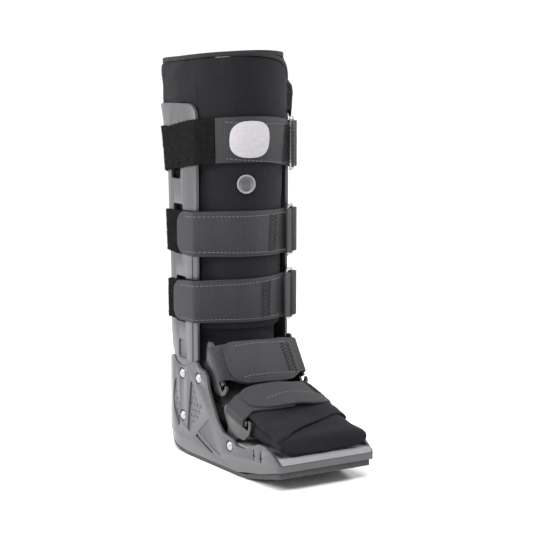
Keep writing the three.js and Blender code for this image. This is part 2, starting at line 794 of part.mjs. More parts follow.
// Outline in plan of all that lies under a leg strap at one height, grown by a distance
function hullAt(z, grow) {
  const points = [];
  for (let angle = -180; angle < 180; angle += 4) {
    const over = angle < flapNear + 2 && angle > flapFar - 2 ? flapEase + flapThickness + 0.1 : 0;
    const p = legSkin(z, angle, over);
    points.push([p.x, p.y]);
  }
  const back = backAt(z);
  for (let k = 0; k <= 4; k += 1) {
    const y = mix(-uprightFront, back, k / 4);
    points.push([faceX(y), y], [-faceX(y), y]);
  }
  const grown = points.flatMap(([x, y]) => Array.from({ length: 16 }, (_, i) => [
    x + grow * Math.cos((i * Math.PI) / 8),
    y + grow * Math.sin((i * Math.PI) / 8),
  ]));
  grown.sort((a, b) => a[0] - b[0] || a[1] - b[1]);
  const half = (list) => list.reduce((chain, p) => {
    while (chain.length > 1) {
      const [ax, ay] = chain[chain.length - 2];
      const [bx, by] = chain[chain.length - 1];
      if ((bx - ax) * (p[1] - ay) - (by - ay) * (p[0] - ax) > 1e-9) break;
      chain.pop();
    }
    chain.push(p);
    return chain;
  }, []);
  return [...half(grown).slice(0, -1), ...half(grown.slice().reverse()).slice(0, -1)];
}
const hulls = new Map();
const hullCentre = 5;
// Point where a ray from the leg's axis meets that outline. Angle from the front towards the near side
function wrap(z, angle, grow) {
  const key = `${z.toFixed(2)} ${grow.toFixed(3)}`;
  if (!hulls.has(key)) hulls.set(key, hullAt(z, grow));
  const outline = hulls.get(key);
  const dx = -Math.sin(angle * rad);
  const dy = -Math.cos(angle * rad);
  for (let i = 0; i < outline.length; i += 1) {
    const [x0, y0] = outline[i];
    const [x1, y1] = outline[(i + 1) % outline.length];
    const ey = y1 - y0;
    const ex = x1 - x0;
    const bottom = dx * ey - dy * ex;
    const t = (x0 * ey - (y0 - hullCentre) * ex) / bottom;
    const s = (x0 * dy - (y0 - hullCentre) * dx) / bottom;
    if (t > 0 && s >= -1e-9 && s <= 1 + 1e-9) return [t * dx, hullCentre + t * dy];
  }
  return [0, 0];
}
const angleOf = (x, y) => Math.atan2(-x, hullCentre - y) / rad;
// Falling list of angles with the uprights' front corners worked in
function withCorners(angles) {
  const near = angleOf(-uprightFace, -uprightFront);
  const last = angles.length - 1;
  const extra = [near + 1.5, near, near - 1.5, -near].filter((a) => a < angles[0] && a > angles[last]);
  const clear = (a) => extra.every((b) => Math.abs(a - b) > 1.6);
  const kept = angles.filter((a, i) => i === 0 || i === last || clear(a));
  return [...kept, ...extra].sort((a, b) => b - a);
}

// Straps of the leg: heights of the band at the near rear, the front and the far side, shares of rimHeight
const legStraps = [
  {
    low: 0.72, high: 0.827, frontLow: 0.746, frontHigh: 0.857,
    farLow: 0.729, farHigh: 0.843, tip: 66, pileEnd: 44,
  },
  {
    low: 0.519, high: 0.619, frontLow: 0.514, frontHigh: 0.627,
    farLow: 0.514, farHigh: 0.624, tip: 92, pileEnd: 60,
  },
  {
    low: 0.35, high: 0.444, frontLow: 0.351, frontHigh: 0.459,
    farLow: 0.35, farHigh: 0.462, tip: 101, pileEnd: 62,
  },
];
const ringAngle = -54;
function bandHeight(strap, angle, share) {
  const stations = [-90, ringAngle, 0, 60, 120];
  const edge = (far, front, near) => [far, far, front, mix(front, near, 0.25), near];
  const low = through(stations, edge(strap.farLow, strap.frontLow, strap.low), angle);
  const high = through(stations, edge(strap.farHigh, strap.frontHigh, strap.high), angle);
  return mix(low, high, share) * rimHeight;
}
// Solid band from rows of plan points. path(v) lists [x, y, z] down its middle, half is half the thickness
function band(paths, half) {
  const rows = paths.length - 1;
  const columns = paths[0].length - 1;
  const shifted = (side) => (u, v) => {
    const path = paths[Math.round(v * rows)];
    const i = Math.round(u * columns);
    const before = path[Math.max(0, i - 1)];
    const after = path[Math.min(columns, i + 1)];
    const length = Math.hypot(after[0] - before[0], after[1] - before[1]);
    return new THREE.Vector3(
      path[i][0] + (side * half * (after[1] - before[1])) / length,
      path[i][1] - (side * half * (after[0] - before[0])) / length,
      path[i][2],
    );
  };
  return slab(columns, rows, shifted(-1), shifted(1));
}

// Pile band: outside the near upright, round its rear post and back in behind it to the slot
const pileRows = 2;
const pileEase = 0.2;
const postClearance = 1.4;
function pileBand(strap, slot) {
  const reach = layerGap + pileEase + pileThickness / 2;
  const paths = Array.from({ length: pileRows + 1 }, (_, j) => {
    const share = j / pileRows;
    const mid = bandHeight(strap, 110, share);
    const back = backAt(mid);
    const corner = angleOf(-faceX(back), back);
    const angles = withCorners(Array.from({ length: 9 }, (_, i) => mix(corner, strap.pileEnd, i / 8)));
    const outer = angles.reverse().map((angle) => {
      const z = bandHeight(strap, angle, share);
      return [...wrap(z, angle, reach), z];
    });
    const last = outer[outer.length - 1];
    const innerLow = Math.max(slot.low + 1, bandHeight(strap, 110, 0) - 6);
    const innerZ = mix(innerLow, Math.min(slot.high - 1, bandHeight(strap, 110, 1)), share);
    const turn = [0.25, 0.5, 0.75, 1].map((t) => {
      const a = t * Math.PI;
      const half = (uprightThickness + 2 * reach) / 2;
      return [
        -(faceX(back) - uprightThickness / 2 + half * Math.cos(a)),
        back + postClearance + reach * Math.sin(a),
        mix(last[2], innerZ, t),
      ];
    });
    const inner = Array.from({ length: 5 }, (_, i) => {
      const y = mix(back - 2, slot.y - slotWidth / 2 + 3, i / 4);
      return [-(faceX(y) - uprightThickness - reach), y, innerZ];
    });
    return [...outer, ...turn, ...inner];
  });
  return band(paths, pileThickness / 2);
}

// Webbing: from its tip over the front to the ring, folded out round the ring's front bar
const webHalf = webThickness / 2;
const strapEase = 0.3;
const barHalf = ringWire * 0.62;
const barReach = strapEase + webThickness + 2 * layerGap + barHalf;
const foldRadius = barHalf + layerGap + webHalf;
const foldReturn = 11;
const ringHalfAngle = 5.4;
const tipRounding = 14;
// The band twists to stand upright before its ring, level with the outline at its top edge
const standStart = -28;
const standTurn = 18;
const ringLevel = (strap) => bandHeight(strap, ringAngle, 1);
function outward(z, angle, grow) {
  const a = wrap(z, angle + 2, grow);
  const b = wrap(z, angle - 2, grow);
  const length = Math.hypot(b[0] - a[0], b[1] - a[1]);
  return [(b[1] - a[1]) / length, (a[0] - b[0]) / length];
}
function webPath(strap, share, first) {
  const base = layerGap + strapEase + webHalf;
  const overPile = first ? 0 : pileThickness + pileEase + layerGap;
  const start = first ? strap.pileEnd - 0.8 : strap.tip;
  const fine = [0, 1.5, 4, 7.5, 12].map((d) => start - d);
  const after = first ? start - 8 : start - 19;
  const rest = Array.from({ length: 11 }, (_, i) => mix(after, ringAngle + ringHalfAngle + 1.5, i / 10));
  const angles = withCorners(first ? [start, ...rest] : [...fine, ...rest]);
  const width = (angle) => {
    if (first) return 1;
    const near = clamp((start - angle + 0.9) / tipRounding, 0, 1);
    return 0.3 + 0.7 * Math.sqrt(1 - (1 - near) ** 2);
  };
  const along = angles.map((angle) => {
    const z = bandHeight(strap, angle, 0.5 + (share - 0.5) * width(angle));
    const lift = overPile * smooth((angle - strap.pileEnd + 13) / 10);
    const level = mix(z, ringLevel(strap), smooth((standStart - angle) / standTurn));
    return [...wrap(level, angle, base + lift), z];
  });
  const zRing = bandHeight(strap, ringAngle, share);
  const barAngle = ringAngle + ringHalfAngle;
  const bar = wrap(ringLevel(strap), barAngle, barReach);
  const [nx, ny] = outward(ringLevel(strap), barAngle, barReach);
  const turn = [-0.5, -0.2, 0.1, 0.4, 0.5].map((t) => {
    const forward = foldRadius * Math.cos(t * Math.PI);
    const away = foldRadius * Math.sin(t * Math.PI);
    return [bar[0] + away * nx - forward * ny, bar[1] + away * ny + forward * nx, zRing];
  });
  const back = [0.45, 1].map((t) => [
    bar[0] + foldRadius * nx + t * foldReturn * ny,
    bar[1] + foldRadius * ny - t * foldReturn * nx,
    zRing,
  ]);
  return [...along, ...turn, ...back];
}
const bandShares = [0, 0.5, 1];
const web = (strap, first) => band(bandShares.map((share) => webPath(strap, share, first)), webHalf);

// Anchor loop from the ring's rear bar back over the far upright
const anchorEnd = -93;
function anchorPath(strap, share) {
  const z = bandHeight(strap, ringAngle - 10, share);
  const barAngle = ringAngle - ringHalfAngle;
  const level = ringLevel(strap);
  const bar = wrap(level, barAngle, barReach);
  const [nx, ny] = outward(level, barAngle, barReach);
  const turn = [0.5, 0.2, -0.1, -0.4, -0.5].map((t) => {
    const backward = foldRadius * Math.cos(t * Math.PI);
    const away = foldRadius * Math.sin(t * Math.PI);
    return [bar[0] + away * nx + backward * ny, bar[1] + away * ny - backward * nx, z];
  });
  const layer = (grow, from, to) => Array.from({ length: 4 }, (_, i) => [
    ...wrap(level, mix(from, to, i / 3), grow),
    z,
  ]);
  return [
    ...layer(layerGap + strapEase + webHalf + 2 * foldRadius, anchorEnd, barAngle - 3.5),
    ...turn,
    ...layer(layerGap + strapEase + webHalf, barAngle - 3.5, anchorEnd),
  ];
}
const anchor = (strap) => band(bandShares.map((share) => anchorPath(strap, share)), webHalf);

// Rectangular wire ring standing along the band's travel
function ring(strap) {
  const high = (bandHeight(strap, ringAngle, 1) - bandHeight(strap, ringAngle, 0)) + 2 * ringWire + 2.4;
  const z = bandHeight(strap, ringAngle, 0.5);
  const front = wrap(ringLevel(strap), ringAngle + ringHalfAngle, barReach);
  const rear = wrap(ringLevel(strap), ringAngle - ringHalfAngle, barReach);
  const travel = new THREE.Vector3(rear[0] - front[0], rear[1] - front[1], 0);
  const length = travel.length() + ringWire;
  const shape = slotShape(-length / 2, length / 2, -high / 2, high / 2, 2.6);
  shape.holes.push(slotShape(
    ringWire - length / 2,
    length / 2 - ringWire,
    ringWire - high / 2,
    high / 2 - ringWire,
    0.8,
  ));
  const bevel = 0.6;
  const geometry = new THREE.ExtrudeGeometry(shape, {
    depth: ringWire - 2 * bevel,
    bevelSize: bevel,
    bevelOffset: -bevel,
    bevelThickness: bevel,
    bevelSegments: 1,
    curveSegments: 2,
  });
  geometry.translate(0, 0, bevel - ringWire / 2);
  const t = travel.normalize();
  const up = new THREE.Vector3(0, 0, 1);
  geometry.applyMatrix4(new THREE.Matrix4().makeBasis(t, up, t.clone().cross(up)));
  geometry.translate((front[0] + rear[0]) / 2, (front[1] + rear[1]) / 2, z);
  return geometryOf(solid(geometry));
}

// Bare rounded patch on the top strap
const badgeAngle = 6;
function badge() {
  const strap = legStraps[0];
  const layer = (grow) => (u, v) => {
    const angle = mix(badgeAngle + 26, badgeAngle - 26, u);
    const z = bandHeight(strap, angle, mix(0.03, 0.97, v));
    return new THREE.Vector3(...wrap(z, angle, grow), z);
  };
  const under = 2 * layerGap + strapEase + webThickness;
  const z = bandHeight(strap, badgeAngle, 0.5);
  const outline = new THREE.Shape(Array.from({ length: 24 }, (_, i) => {
    const a = (i * Math.PI) / 12;
    return new THREE.Vector2(
      (badgeWidth / 2) * power(Math.cos(a), 0.74),
      (badgeHeight / 2) * power(Math.sin(a), 0.74),
    );
  }));
  const cutter = new THREE.ExtrudeGeometry(outline, { depth: legDepth, bevelEnabled: false });
  cutter.rotateX(Math.PI / 2).rotateZ(-badgeAngle * rad).translate(wrap(z, badgeAngle, 0)[0] * 0.9, 0, z);
  return geometryOf(solid(slab(8, 1, layer(under), layer(under + badgeThickness))).intersect(solid(cutter)));
}

// Foot straps. Each has its buckle slot's top end at the near side, slot length, rise over the foot and skew
const footStraps = [
  {
    x: soleWidth / 2 - 8, y: -38, z: 123.3, slotY: -26.7, slotZ: -40.4,
    rise: 12, skew: 4, spread: 2.2, lean: 0.8, wide: 0.98,
  },
  {
    x: soleWidth / 2 - 5, y: -78.2, z: 64.5, slotY: -41, slotZ: -11.5,
    rise: 27, skew: 17, spread: 2.3, lean: 0.7, wide: 1.1,
  },
];
const edgeOf = (strap) => strap.x + 3.5;
const slotHalf = 1.5;
const barWide = 4.9;
// Frame of a foot strap: X across the foot, outward over the instep, and along the slot
function strapFrame(strap) {
  const along = new THREE.Vector3(0, strap.slotY, strap.slotZ).normalize();
  const out = new THREE.Vector3(0, along.z, -along.y);
  const basis = new THREE.Matrix4().makeBasis(new THREE.Vector3(1, 0, 0), out, along);
  return basis.setPosition(0, strap.y, strap.z);
}
const slotLength = (strap) => Math.hypot(strap.slotY, strap.slotZ);
const strapRise = (strap, x) => {
  const crown = Math.max(0, 1 - Math.abs(x / edgeOf(strap)) ** strap.spread);
  return slotHalf + barWide * 0.6 + strap.rise * crown ** strap.lean;
};
const strapSkew = (strap, x) => strap.skew * Math.max(0, 1 - (x / (edgeOf(strap) - 8)) ** 2);
function footBand(strap, line, tip = 0) {
  const length = slotLength(strap);
  const paths = bandShares.map((share) => line.map(([x, out], i) => {
    const narrow = tip ? Math.min(1, [0.3, 0.62, 0.82, 0.94, 1][Math.min(i, 4)]) : 1;
    const end = smooth((Math.abs(x) - strap.x + 22) / 20);
    const middle = 0.5 - 0.05 * end;
    const wide = mix(strap.wide, 0.8, end) * narrow;
    const along = length * (middle + (share - 0.5) * wide) + strapSkew(strap, x);
    return [x, out, along];
  }));
  return facingOut(band(paths, webHalf).applyMatrix4(strapFrame(strap)));
}
// Travel round the buckle's bar and in through its slot, for the side of one sign
function roundTheBar(strap, side) {
  const outerSide = strap.x + buckleThickness / 2 + layerGap + webHalf;
  return [
    [side * (edgeOf(strap) - 3.2), slotHalf + barWide + 2.6],
    [side * (outerSide - 0.4), slotHalf + barWide + 0.8],
    [side * outerSide, slotHalf + barWide - 1],
    [side * outerSide, slotHalf + 0.9],
    [side * (outerSide - 0.1), 1],
    [side * (outerSide - 0.8), 0.1],
    [side * (strap.x + 0.6), -0.15],
    [side * (strap.x - 0.8), -0.15],
  ];
}
const underLayer = webThickness + layerGap;
function strapTop(strap) {
  const shares = [
    -1, -0.983, -0.948, -0.891, -0.815, -0.65, -0.48, -0.3, -0.13,
    0.04, 0.22, 0.39, 0.56, 0.72, 0.85, 0.96, 1.04,
  ];
  const line = shares.map((t) => {
    const x = t * (strap.x - 5.5);
    const slope = strapRise(strap, x + 0.5) - strapRise(strap, x - 0.5);
    return [x, strapRise(strap, x) + underLayer * Math.hypot(1, slope) * smooth((14 - x) / 22)];
  });
  return footBand(strap, [...line, ...roundTheBar(strap, 1)], 1);
}
function strapTurn(strap) {
  const line = [0.26, 0.43, 0.61, 0.76, 0.89, 1].map((t) => {
    const x = -t * (strap.x - 5.5);
    return [x, strapRise(strap, x)];
  });
  return footBand(strap, [...line, ...roundTheBar(strap, -1)]);
}
// Buckle outline round its open slot: along as a share of the slot's length, out in millimetres
const buckleOutline = [
  { along: -0.1, out: -2.2 },
  { along: -0.12, out: 3 },
  { along: -0.06, out: 6.4 },
  { along: 0.93, out: 6.4 },
  { along: 0.93, out: 1.5 },
  { along: 0.0, out: 1.5 },
  { along: 0.0, out: -1.5 },
  { along: 1.03, out: -1.5 },
  { along: 1.03, out: 4.6 },
  { along: 0.97, out: 8.2 },
  { along: 1.01, out: 9.6 },
  { along: 1.1, out: 8 },
  { along: 1.14, out: 3 },
  { along: 1.1, out: -5.5 },
  { along: 0.93, out: -14 },
  { along: 0.66, out: -17 },
  { along: 0.52, out: -25 },
  { along: 0.2, out: -25 },
  { along: 0.17, out: -14 },
  { along: -0.03, out: -6 },
];
const buckleShape = (strap) => new THREE.Shape(buckleOutline.map(({ along, out }) => (
  new THREE.Vector2(out, along * slotLength(strap))
)));
function buckle(strap, side) {
  const depth = buckleThickness;
  const geometry = new THREE.ExtrudeGeometry(buckleShape(strap), { depth, bevelEnabled: false });
  geometry.applyMatrix4(new THREE.Matrix4().makeBasis(
    new THREE.Vector3(0, 1, 0),
    new THREE.Vector3(0, 0, 1),
    new THREE.Vector3(1, 0, 0),
  ));
  geometry.applyMatrix4(new THREE.Matrix4().setPosition(side * strap.x - buckleThickness / 2, 0, 0));
  geometry.applyMatrix4(strapFrame(strap));
  const floorCut = new THREE.BoxGeometry(soleWidth * 2, soleFront * 2, footbedTop * 2 + 2 * layerGap);
  const hole = rivetShank + 2 * layerGap;
  const footings = rivetSpots.map(({ y, z }) => roundBar(hole, 16, y, z, side * wallInner, 8));
  return geometryOf(cut(solid(geometry), floorCut, ...footings));
}

// What presses into the foam: uprights, pile bands, buckles and the shell's walls, each with its clearance
const pressed = bothSides((side) => {
  const grown = solid(pushed(uprightShape(layerGap), -beyond, beyond, 3));
  return solid(plate(side, -6, uprightThickness + layerGap)).intersect(grown);
});
const tongues = bothSides((side) => pushed(
  tongueOutline,
  side < 0 ? -wallOuter : wallInner - 2 * layerGap - tongueDepth,
  side < 0 ? -wallInner + 2 * layerGap + tongueDepth : wallOuter,
));
const pilePocket = (strap, slot) => {
  const reach = uprightThickness + pileThickness + 2 * layerGap;
  const surface = (under) => (u, v) => {
    const y = mix(slot.y - slotWidth / 2, backAt(slot.high) + 8, u);
    const z = mix(slot.low - 2, Math.max(slot.high, bandHeight(strap, 110, 1)) + 2, v);
    return new THREE.Vector3(-(faceX(y) - under), y, z);
  };
  return slab(4, 1, surface(reach), surface(-6));
};
const buckleRoom = footStraps.flatMap((strap) => bothSides((side) => {
  const length = slotLength(strap);
  const deep = slotHalf + barWide + 40;
  const room = new THREE.BoxGeometry(26, deep, length * 1.5);
  room.translate(side * (strap.x + 11.2 - buckleThickness / 2), deep / 2 - 33, length / 2);
  return room.applyMatrix4(strapFrame(strap));
}));
// Foam gives way under the foot straps and above the footbed
const strapRoom = footStraps.map((strap) => {
  const xs = [-52, -46, -40, -30, -20, -10, 0, 10, 20, 30, 40, 46, 52];
  const length = slotLength(strap);
  const surface = (lift) => (u, v) => {
    const x = xs[Math.round(u * (xs.length - 1))];
    const along = mix(-0.06, 1.06, v) * length * strap.wide + strapSkew(strap, x);
    return new THREE.Vector3(x, strapRise(strap, x) + lift, along).applyMatrix4(strapFrame(strap));
  };
  return slab(xs.length - 1, 1, surface(-webHalf - 4 * layerGap), surface(60));
});
const underfoot = new THREE.BoxGeometry(soleWidth * 2, soleFront * 3, 2 * (footbedTop + floorGap));
let liner = linerBlock;
pressed.forEach((tool) => {
  liner = liner.subtract(tool);
});
liner = geometryOf(cut(
  liner,
  ...tongues,
  ...legStraps.map((strap, i) => pilePocket(strap, slots[i])),
  ...buckleRoom,
  ...strapRoom,
  underfoot,
));
const foreFlap = geometryOf(cut(solid(forefootFlap), ...buckleRoom, ...strapRoom, underfoot));

// Colours and finishes
function finish(color, roughness, metalness = 0) {
  return new THREE.MeshStandardMaterial({ color, roughness, metalness });
}
const plastic = finish(0x55565a, 0.38);
const palePlastic = finish(0x8f9094, 0.45);
const rubber = finish(0x3c3d40, 0.75);
const cloth = finish(0x25262b, 0.95);
const trim = finish(0x2e2f34, 0.85);
const webbing = finish(0x46474b, 0.8);
const pile = finish(0x141416, 1);
const steel = finish(0xc9cacc, 0.25, 1);
const bare = finish(0xc9c6ca, 0.9);

const boot = new THREE.Group();
function place(name, geometry, material) {
  const mesh = new THREE.Mesh(geometry, material);
  mesh.name = name;
  boot.add(mesh);
}
place('outsole', outsole, rubber);
place('sole_wedge', wedge, palePlastic);
place('boot_shell', shell, plastic);
place('footbed', footbed, palePlastic);
[['near', -1], ['far', 1]].forEach(([word, side]) => {
  place(`upright_${word}`, upright(side), plastic);
  rivetSpots.forEach((spot, i) => place(`rivet_${word}_${i + 1}`, rivet(side, spot), steel));
  footStraps.forEach((strap, i) => place(`buckle_${word}_${i + 4}`, buckle(strap, side), plastic));
});
place('liner_body', liner, cloth);
place('rim_binding', rimBinding, trim);
place('shin_flap', geometryOf(shinFlap), cloth);
place('flap_binding', geometryOf(flapBinding), trim);
place('forefoot_flap', foreFlap, cloth);
place('valve_ring', valveRing, palePlastic);
place('valve_stem', valveStem, palePlastic);
legStraps.forEach((strap, i) => {
  place(`pile_${i + 1}`, pileBand(strap, slots[i]), pile);
  place(`web_${i + 1}`, web(strap, i === 0), webbing);
  place(`anchor_${i + 1}`, anchor(strap), webbing);
  place(`ring_${i + 1}`, ring(strap), steel);
});
place('badge', badge(), bare);
footStraps.forEach((strap, i) => {
  place(`strap_${i + 4}`, strapTop(strap), webbing);
  place(`strap_${i + 4}_turn`, strapTurn(strap), webbing);
});

// Origin under the middle of the boot's box, on the ground
const box = new THREE.Box3().setFromObject(boot);
boot.position.set(-(box.min.x + box.max.x) / 2, -(box.min.y + box.max.y) / 2, -box.min.z);
boot.updateMatrixWorld(true);

export default boot;
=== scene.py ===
"""Looks of a tall walking boot: padded liner, sewn webbing straps, loop pile, moulded plastic and steel."""

import math

import bmesh
import bpy
import numpy as np
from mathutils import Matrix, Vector
from mathutils.bvhtree import BVHTree


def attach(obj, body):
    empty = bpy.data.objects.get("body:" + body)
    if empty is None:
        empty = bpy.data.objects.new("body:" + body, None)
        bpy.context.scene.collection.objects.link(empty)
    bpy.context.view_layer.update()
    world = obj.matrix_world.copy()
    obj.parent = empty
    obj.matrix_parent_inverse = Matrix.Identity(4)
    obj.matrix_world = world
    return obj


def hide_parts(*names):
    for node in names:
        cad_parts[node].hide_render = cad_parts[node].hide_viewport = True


bl_info = {
    "name": "Walking boot",
    "version": (1, 0, 0),
    "blender": (4, 2, 0),
    "location": "View3D > Sidebar > Boot",
    "description": "Dresses the walking boot's solids with cloth, stitching, pile and plastic",
    "category": "Object",
}

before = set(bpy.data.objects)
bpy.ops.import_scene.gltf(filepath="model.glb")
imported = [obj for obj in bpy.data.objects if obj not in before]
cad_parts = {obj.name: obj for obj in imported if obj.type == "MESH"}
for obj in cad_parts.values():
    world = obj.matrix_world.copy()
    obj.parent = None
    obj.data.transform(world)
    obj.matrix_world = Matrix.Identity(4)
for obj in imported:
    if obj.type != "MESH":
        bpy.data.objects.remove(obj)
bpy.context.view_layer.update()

# Axis of the leg in plan, the radius that turns an angle about it into a length, and the picture's camera,
# in metres and degrees
AXIS = (-0.0018, 0.0547)
LEG_RADIUS = 0.056
LOOK = (0.0424, 0.0497, 0.1959)
CAMERA_AZIMUTH = -31.915
CAMERA_PITCH = 7.373
CAMERA_DISTANCE = 1.7097
LENS = 106.5
# What the area lights point at, in metres
LIT = (0, 0, 0.2)

HARD = {
    "plastic": ["boot_shell", "upright_near", "upright_far", "valve_stem", "buckle_near_4", "buckle_near_5"]
    + ["buckle_far_4", "buckle_far_5"],
    "pale_plastic": ["sole_wedge", "footbed", "valve_ring"],
    "rubber": ["outsole"],
    "steel": [f"rivet_{side}_{i}" for side in ("near", "far") for i in (1, 2, 3, 4)]
    + ["ring_1", "ring_2", "ring_3"],
}
# Each flat cloth piece: material slot, flat width and length in metres, how it is held and on what. The length
# is half the area of the piece's solid over its width
SHEETS = {
    "web_1": ("webbing", 0.048, 0.132, "stretched", ["shin_flap", "ring_1"]),
    "web_2": ("webbing", 0.047, 0.181, "stretched", ["pile_2", "ring_2"]),
    "web_3": ("webbing", 0.047, 0.181, "stretched", ["pile_3", "ring_3"]),
    "anchor_1": ("webbing", 0.048, 0.095, "folded", ["ring_1", "upright_far"]),
    "anchor_2": ("webbing", 0.046, 0.095, "folded", ["ring_2", "upright_far"]),
    "anchor_3": ("webbing", 0.047, 0.095, "folded", ["ring_3", "upright_far"]),
    "pile_1": ("pile", 0.047, 0.145, "folded", ["upright_near"]),
    "pile_2": ("pile", 0.044, 0.118, "folded", ["upright_near"]),
    "pile_3": ("pile", 0.042, 0.113, "folded", ["upright_near"]),
    "strap_4": ("webbing", 0.044, 0.116, "folded", ["buckle_far_4", "strap_4_turn"]),
    "strap_4_turn": ("webbing", 0.042, 0.058, "folded", ["buckle_near_4"]),
    "strap_5": ("webbing", 0.044, 0.125, "folded", ["buckle_far_5", "strap_5_turn"]),
    "strap_5_turn": ("webbing", 0.042, 0.063, "folded", ["buckle_near_5"]),
    "badge": ("badge_cloth", 0.038, 0.042, "laid", ["web_1"]),
}
# Flat area of a band and of the patch, as chosen shares of width times length
BAND_FILL = 0.97
BADGE_FILL = 0.82
# Foot straps: origin, direction along the slot (y, z), slot length and half width in metres
FOOT = {
    "strap_4": {"origin": (0.01168, 0.1215), "along": (-0.5514, -0.8343), "length": 0.0484, "half": 0.043},
    "strap_5": {"origin": (-0.02852, 0.0627), "along": (-0.9629, -0.2701), "length": 0.0426, "half": 0.046},
}


def length_property(name, description, default):
    return bpy.props.FloatProperty(name=name, description=description, default=default, unit="LENGTH")


def colour_property(name, description, default):
    return bpy.props.FloatVectorProperty(
        name=name, description=description, default=default, size=3, subtype="COLOR"
    )


class BootSizes(bpy.types.PropertyGroup):
    """Sizes of the cloth, the stitching and the pile"""

    voxel: length_property("Liner detail", "Spacing of the liner's mesh", 0.0024)
    flap_voxel: length_property("Flap detail", "Spacing of the flaps' mesh", 0.0013)
    crease: length_property("Crease depth", "Depth of the soft creases", 0.0016)
    stitch: length_property("Stitch", "Length of one stitch", 0.0042)
    thread: length_property("Thread", "Radius of the sewing thread", 0.00038)
    loops: bpy.props.IntProperty(
        name="Pile strands", description="Strands on one pile band", default=16000, min=100, max=40000
    )
    strand: length_property("Strand", "Length of a pile strand", 0.002)


class BootColours(bpy.types.PropertyGroup):
    """Base colours of the finishes"""

    plastic: colour_property("Plastic", "Shell, uprights and valve stem", (0.048, 0.049, 0.053))
    pale_plastic: colour_property("Pale plastic", "Footbed and valve ring", (0.2, 0.2, 0.21))
    buckle: colour_property("Buckle plastic", "Hook buckles", (0.017, 0.0172, 0.019))
    wedge: colour_property("Wedge plastic", "Wedge under the heel", (0.075, 0.076, 0.08))
    rubber: colour_property("Rubber", "Outsole", (0.025, 0.0255, 0.027))
    cloth: colour_property("Liner cloth", "Liner and flaps", (0.0065, 0.0065, 0.0085))
    trim: colour_property("Binding", "Edge bindings", (0.012, 0.012, 0.014))
    webbing: colour_property("Webbing", "Straps", (0.022, 0.0225, 0.0255))
    pile: colour_property("Pile", "Loop pile", (0.004, 0.004, 0.0045))
    badge_cloth: colour_property("Patch", "Bare patch on the top strap", (0.36, 0.345, 0.36))
    steel: colour_property("Steel", "Rivets and rings", (0.42, 0.42, 0.43))
    edge_stitch: colour_property("Edge thread", "Thread along the edges", (0.15, 0.15, 0.16))
    box_stitch: colour_property("Box thread", "Thread of the zigzag boxes", (0.004, 0.004, 0.005))


class Val:
    """A number socket with arithmetic."""

    def __init__(self, shader, socket):
        self.shader, self.socket = shader, socket

    def _op(self, operation, *args):
        return self.shader.math(operation, *args)

    def __add__(self, b):
        return self._op("ADD", self, b)

    __radd__ = __add__

    def __sub__(self, b):
        return self._op("SUBTRACT", self, b)

    def __rsub__(self, b):
        return self._op("SUBTRACT", b, self)

    def __mul__(self, b):
        return self._op("MULTIPLY", self, b)

    __rmul__ = __mul__


class Finish:
    """One material and its nodes."""

    def __init__(self, name, colour, roughness, **fixed):
        self.material = bpy.data.materials.new(name)
        self.material.use_nodes = True
        self.nodes = self.material.node_tree.nodes
        self.links = self.material.node_tree.links
        self.shader = self.nodes["Principled BSDF"]
        self.colour = (*colour, 1.0)
        self.roughness = roughness
        self.shader.inputs["Base Color"].default_value = self.colour
        self.shader.inputs["Roughness"].default_value = roughness
        for key, value in fixed.items():
            self.shader.inputs[key.replace("_", " ")].default_value = value
        self.place = self.node("ShaderNodeTexCoord").outputs["Object"]

    def node(self, kind, settings=None, **inputs):
        """Any node: its type, its settings, and its sockets' values or links, by name or as i0, i1 and on."""
        made = self.nodes.new(kind)
        for key, value in (settings or {}).items():
            setattr(made, key, value)
        for key, value in inputs.items():
            index = int(key[1:]) if key[0] == "i" and key[1:].isdigit() else key.replace("_", " ")
            socket = value.socket if isinstance(value, Val) else value
            if isinstance(socket, bpy.types.NodeSocket):
                self.links.new(socket, made.inputs[index])
            else:
                made.inputs[index].default_value = socket
        return made

    def math(self, operation, *args):
        sockets = {f"i{i}": a for i, a in enumerate(args)}
        return Val(self, self.node("ShaderNodeMath", {"operation": operation}, **sockets).outputs[0])

    def noise(self, scale, detail=2.0):
        made = self.node("ShaderNodeTexNoise", None, Vector=self.place, Scale=scale, Detail=detail)
        return Val(self, made.outputs["Fac"])

    def cells(self, scale):
        made = self.node("ShaderNodeTexVoronoi", None, Vector=self.place, Scale=scale)
        return Val(self, made.outputs["Distance"])

    def axes(self):
        made = self.node("ShaderNodeSeparateXYZ", None, Vector=self.place)
        return [Val(self, made.outputs[i]) for i in range(3)]

    def wave(self, value, pitch):
        """Sine of a length over its pitch, from 0 to 1."""
        return self.math("SINE", value * (2 * math.pi / pitch)) * 0.5 + 0.5

    def tint(self, factor, spread):
        """Base colour scaled by 1 - spread to 1 + spread as the factor goes from 0 to 1."""
        low = tuple(c * (1 - spread) for c in self.colour[:3])
        high = tuple(min(1, c * (1 + spread)) for c in self.colour[:3])
        made = self.node("ShaderNodeMix", {"data_type": "RGBA"}, i0=factor, i6=(*low, 1), i7=(*high, 1))
        self.links.new(made.outputs[2], self.shader.inputs["Base Color"])

    def rough(self, factor, spread):
        value = factor * (2 * spread) + (self.roughness - spread)
        self.links.new(value.socket, self.shader.inputs["Roughness"])

    def bump(self, height, strength, distance=0.0005):
        made = self.node("ShaderNodeBump", None, Strength=strength, Distance=distance, Height=height)
        self.links.new(made.outputs["Normal"], self.shader.inputs["Normal"])


